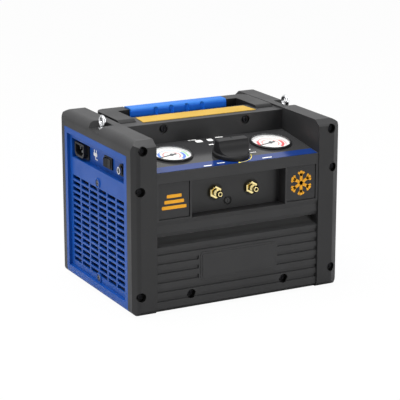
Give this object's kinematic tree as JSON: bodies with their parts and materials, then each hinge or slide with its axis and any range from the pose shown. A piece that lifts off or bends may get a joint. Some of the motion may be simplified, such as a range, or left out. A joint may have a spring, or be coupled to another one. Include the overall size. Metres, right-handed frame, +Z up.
{
  "type": "refrigerant recovery machine",
  "caption": "Boxy portable refrigerant recovery machine with side grilles, recessed flare ports, sloped gauge panel with selector knob, strap eyes and a fold-down carrying handle.",
  "frame": {"origin": "centre of the footprint on the floor under the rubber feet", "axes": "+Z up, -Y out of the front face with the ports, +X to the right as seen from the front"},
  "size_m": [0.349, 0.265, 0.2784],
  "materials": {
    "casing": "fine moulded texture",
    "panel_blue": "satin moulded plastic",
    "trim_black": "satin",
    "knob_black": "fine texture",
    "grip_blue": "soft satin",
    "rubber": "matte",
    "overlay": "glossy printed sheet",
    "plate_yellow": "glossy printed sheet",
    "dial": "printed white",
    "needle": "black paint",
    "lens": "clear",
    "screw_black": "blackened steel",
    "steel": "zinc plated",
    "chrome": "bright plated",
    "brass": "turned",
    "copper": "drawn copper tube",
    "alloy": "cast",
    "fin_alloy": "mill",
    "motor": "grey paint",
    "board": "solder mask",
    "button": "satin"
  },
  "bodies": {
    "machine": {"front_housing": "casing", "rear_housing": "casing", "left_side_panel": "panel_blue", "right_side_panel": "panel_blue", "base_tray": "steel", "rubber_feet": "rubber", "front_screws": "screw_black", "rear_screws": "screw_black", "deck_screws": "screw_black", "side_panel_screws": "steel", "port_screw": "screw_black", "eye_bolts": "chrome", "control_overlay": "overlay", "low_gauge_case": "trim_black", "low_gauge_dial": "dial", "low_gauge_lens": "lens", "high_gauge_case": "trim_black", "high_gauge_dial": "dial", "high_gauge_lens": "lens", "valve_manifold": "alloy", "inlet_fitting": "brass", "outlet_fitting": "brass", "power_inlet": "trim_black", "inlet_pins": "steel", "switch_body": "trim_black", "breaker_body": "trim_black", "handle_pins": "steel", "deck_plate": "plate_yellow", "crankcase": "alloy", "front_cylinder": "alloy", "rear_cylinder": "alloy", "motor_body": "motor", "shaft_bearings": "steel", "fan_shroud": "trim_black", "condenser_fins": "fin_alloy", "condenser_tubes": "copper", "suction_pipe": "copper", "discharge_pipe": "copper", "liquid_pipe": "copper", "gauge_lines": "copper", "pressure_switch": "brass", "control_board": "board", "board_parts": "alloy", "rubber_isolators": "rubber", "mounting_plate": "steel"},
    "handle": {"handle_frame": "trim_black", "handle_grip": "grip_blue"},
    "selector": {"selector_knob": "knob_black", "valve_spindle": "steel"},
    "low_needle": {"low_gauge_needle": "needle"},
    "high_needle": {"high_gauge_needle": "needle"},
    "rocker": {"switch_rocker": "knob_black"},
    "breaker_push": {"breaker_button": "button"},
    "rotor": {"drive_shaft": "steel", "cooling_fan": "trim_black"}
  },
  "joints": [
    {"name": "handle_fold", "type": "hinge", "parent": "machine", "child": "handle", "pos_m": [0, 0.0115, 0.256], "axis": [1, 0, 0], "range_deg": [0, 90]},
    {"name": "selector_turn", "type": "hinge", "parent": "machine", "child": "selector", "pos_m": [0.0035, -0.0975, 0.22092], "axis": [0, -0.1392, 0.9903], "range_deg": [-90, 90]},
    {"name": "low_needle_turn", "type": "hinge", "parent": "machine", "child": "low_needle", "pos_m": [-0.081, -0.0695, 0.22485], "axis": [0, 0.1392, -0.9903], "range_deg": [0, 255], "stiffness_Nm_per_rad": 0.0005},
    {"name": "high_needle_turn", "type": "hinge", "parent": "machine", "child": "high_needle", "pos_m": [0.088, -0.0695, 0.22485], "axis": [0, 0.1392, -0.9903], "range_deg": [0, 255], "stiffness_Nm_per_rad": 0.0005},
    {"name": "rocker_tilt", "type": "hinge", "parent": "machine", "child": "rocker", "pos_m": [-0.1595, -0.01925, 0.2113], "axis": [0, 0, -1], "range_deg": [0, 18]},
    {"name": "breaker_press", "type": "slide", "parent": "machine", "child": "breaker_push", "axis": [1, 0, 0], "range_m": [0, 0.002], "stiffness_N_per_m": 300},
    {"name": "fan_spin", "type": "hinge", "parent": "machine", "child": "rotor", "pos_m": [-0.1145, 0.00175, 0.09925], "axis": [1, 0, 0], "continuous": true}
  ]
}
